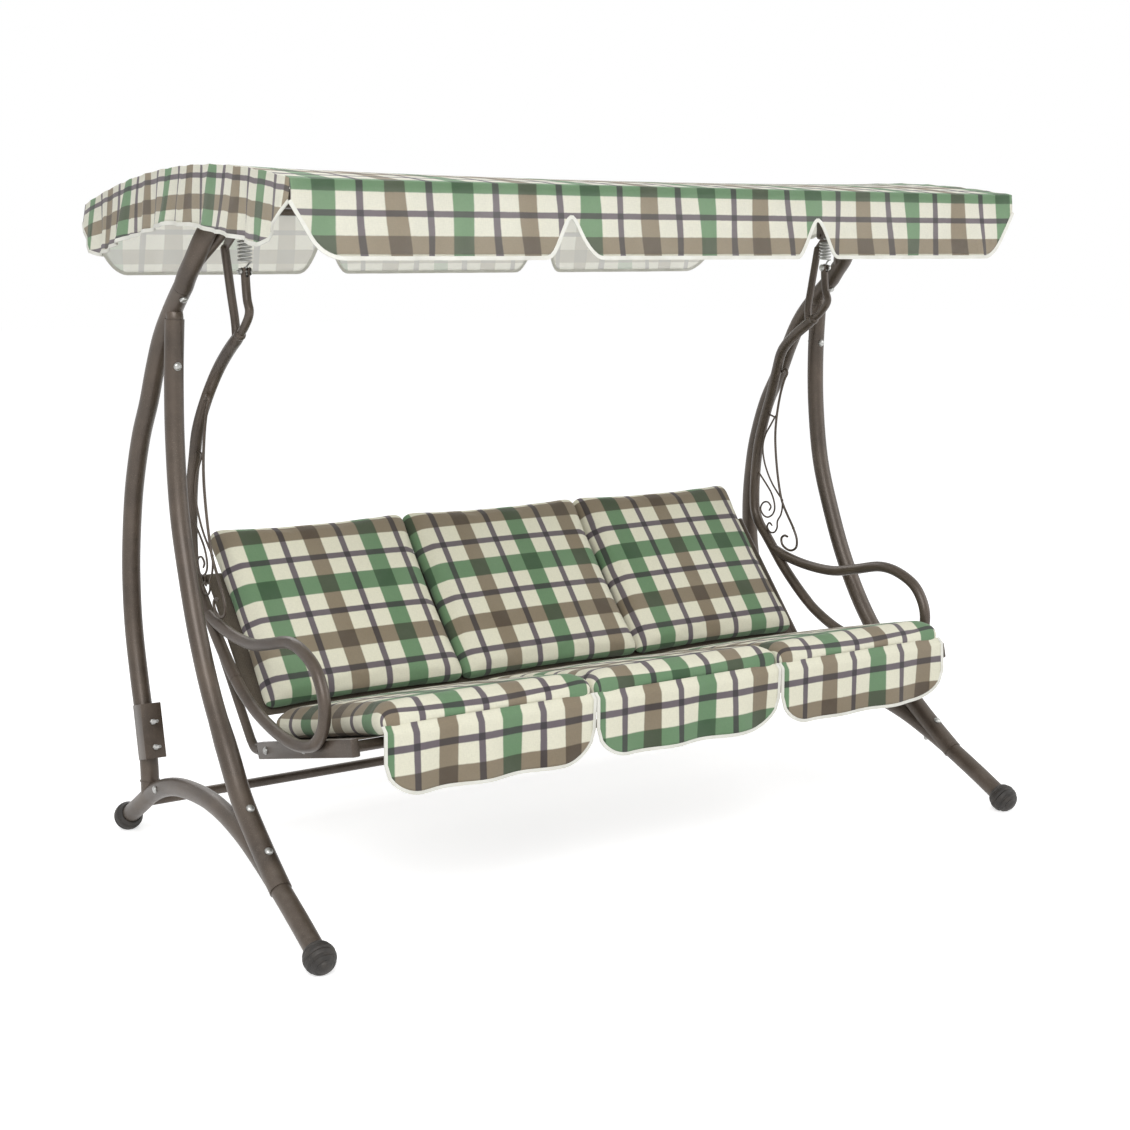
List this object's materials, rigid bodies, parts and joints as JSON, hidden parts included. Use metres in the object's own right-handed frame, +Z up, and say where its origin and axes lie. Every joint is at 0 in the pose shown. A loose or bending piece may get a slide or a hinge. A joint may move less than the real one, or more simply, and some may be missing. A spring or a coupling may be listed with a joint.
{
  "type": "canopy swing chair",
  "caption": "Free-standing garden swing bench under an arched cloth canopy, with a bent tube frame, sprung hanging arms, looped armrests and plaid seat and back cushions.",
  "frame": {"origin": "bottom centre of the bounding box, on the floor midway between the feet", "axes": "+X along the seat to the viewer's right, +Y towards the rear, +Z up; the front faces -Y"},
  "size_m": [2.0704, 1.3096, 1.6402],
  "materials": {
    "bronze_paint": "dark bronze powder coat, satin",
    "dark_cap": "dark moulded plastic with fine rings",
    "zinc_steel": "zinc plated",
    "dark_sling": "woven support cloth",
    "plaid_cushion": "woven cotton, cream with green, taupe and thin dark plaid bands, white piping",
    "plaid_canopy": "woven cotton, cream with green, taupe and thin dark plaid bands, white hem tape"
  },
  "bodies": {
    "frame": {"base_tube_left": "bronze_paint", "base_tube_right": "bronze_paint", "canopy_cover": "plaid_canopy", "canopy_front_bar": "bronze_paint", "canopy_rear_bar": "bronze_paint", "canopy_side_left": "bronze_paint", "canopy_side_right": "bronze_paint", "canopy_support_left": "bronze_paint", "canopy_support_right": "bronze_paint", "elbow_bolt_left": "zinc_steel", "elbow_bolt_right": "zinc_steel", "elbow_left": "bronze_paint", "elbow_right": "bronze_paint", "front_foot_left": "dark_cap", "front_foot_right": "dark_cap", "front_leg_left": "bronze_paint", "front_leg_right": "bronze_paint", "hanger_bracket_left": "bronze_paint", "hanger_bracket_right": "bronze_paint", "leg_bolt_lower_left": "zinc_steel", "leg_bolt_lower_right": "zinc_steel", "leg_bolt_upper_left": "zinc_steel", "leg_bolt_upper_right": "zinc_steel", "rear_foot_left": "dark_cap", "rear_foot_right": "dark_cap", "rear_leg_left": "bronze_paint", "rear_leg_right": "bronze_paint", "rear_stretcher": "bronze_paint", "saddle_bolt_left": "zinc_steel", "saddle_bolt_right": "zinc_steel", "saddle_bracket_left": "bronze_paint", "saddle_bracket_right": "bronze_paint", "stub_bolt_left": "zinc_steel", "stub_bolt_right": "zinc_steel", "top_beam": "bronze_paint"},
    "hanger": {"spring_left": "zinc_steel", "spring_right": "zinc_steel"},
    "seat": {"arm_scroll_left": "bronze_paint", "arm_scroll_right": "bronze_paint", "armrest_left": "bronze_paint", "armrest_right": "bronze_paint", "back_cushion_left": "plaid_cushion", "back_cushion_middle": "plaid_cushion", "back_cushion_right": "plaid_cushion", "back_sling": "dark_sling", "back_top_bar": "bronze_paint", "back_upright_left": "bronze_paint", "back_upright_right": "bronze_paint", "clevis_bolt_left": "zinc_steel", "clevis_bolt_right": "zinc_steel", "seat_cushion_left": "plaid_cushion", "seat_cushion_middle": "plaid_cushion", "seat_cushion_right": "plaid_cushion", "seat_front_bar": "bronze_paint", "seat_rail_left": "bronze_paint", "seat_rail_right": "bronze_paint", "seat_rear_bar": "bronze_paint", "seat_sling": "dark_sling", "swing_arm_left": "bronze_paint", "swing_arm_right": "bronze_paint"}
  },
  "joints": [
    {"name": "swing", "type": "hinge", "parent": "frame", "child": "hanger", "pos_m": [0, -0.012, 1.5], "axis": [1, 0, 0], "range_deg": [-15, 15]},
    {"name": "bounce", "type": "slide", "parent": "hanger", "child": "seat", "axis": [0, 0, 1], "range_m": [-0.02, 0], "stiffness_N_per_m": 24000, "springref_m": 0.015, "deforming": ["spring_left", "spring_right"]}
  ]
}
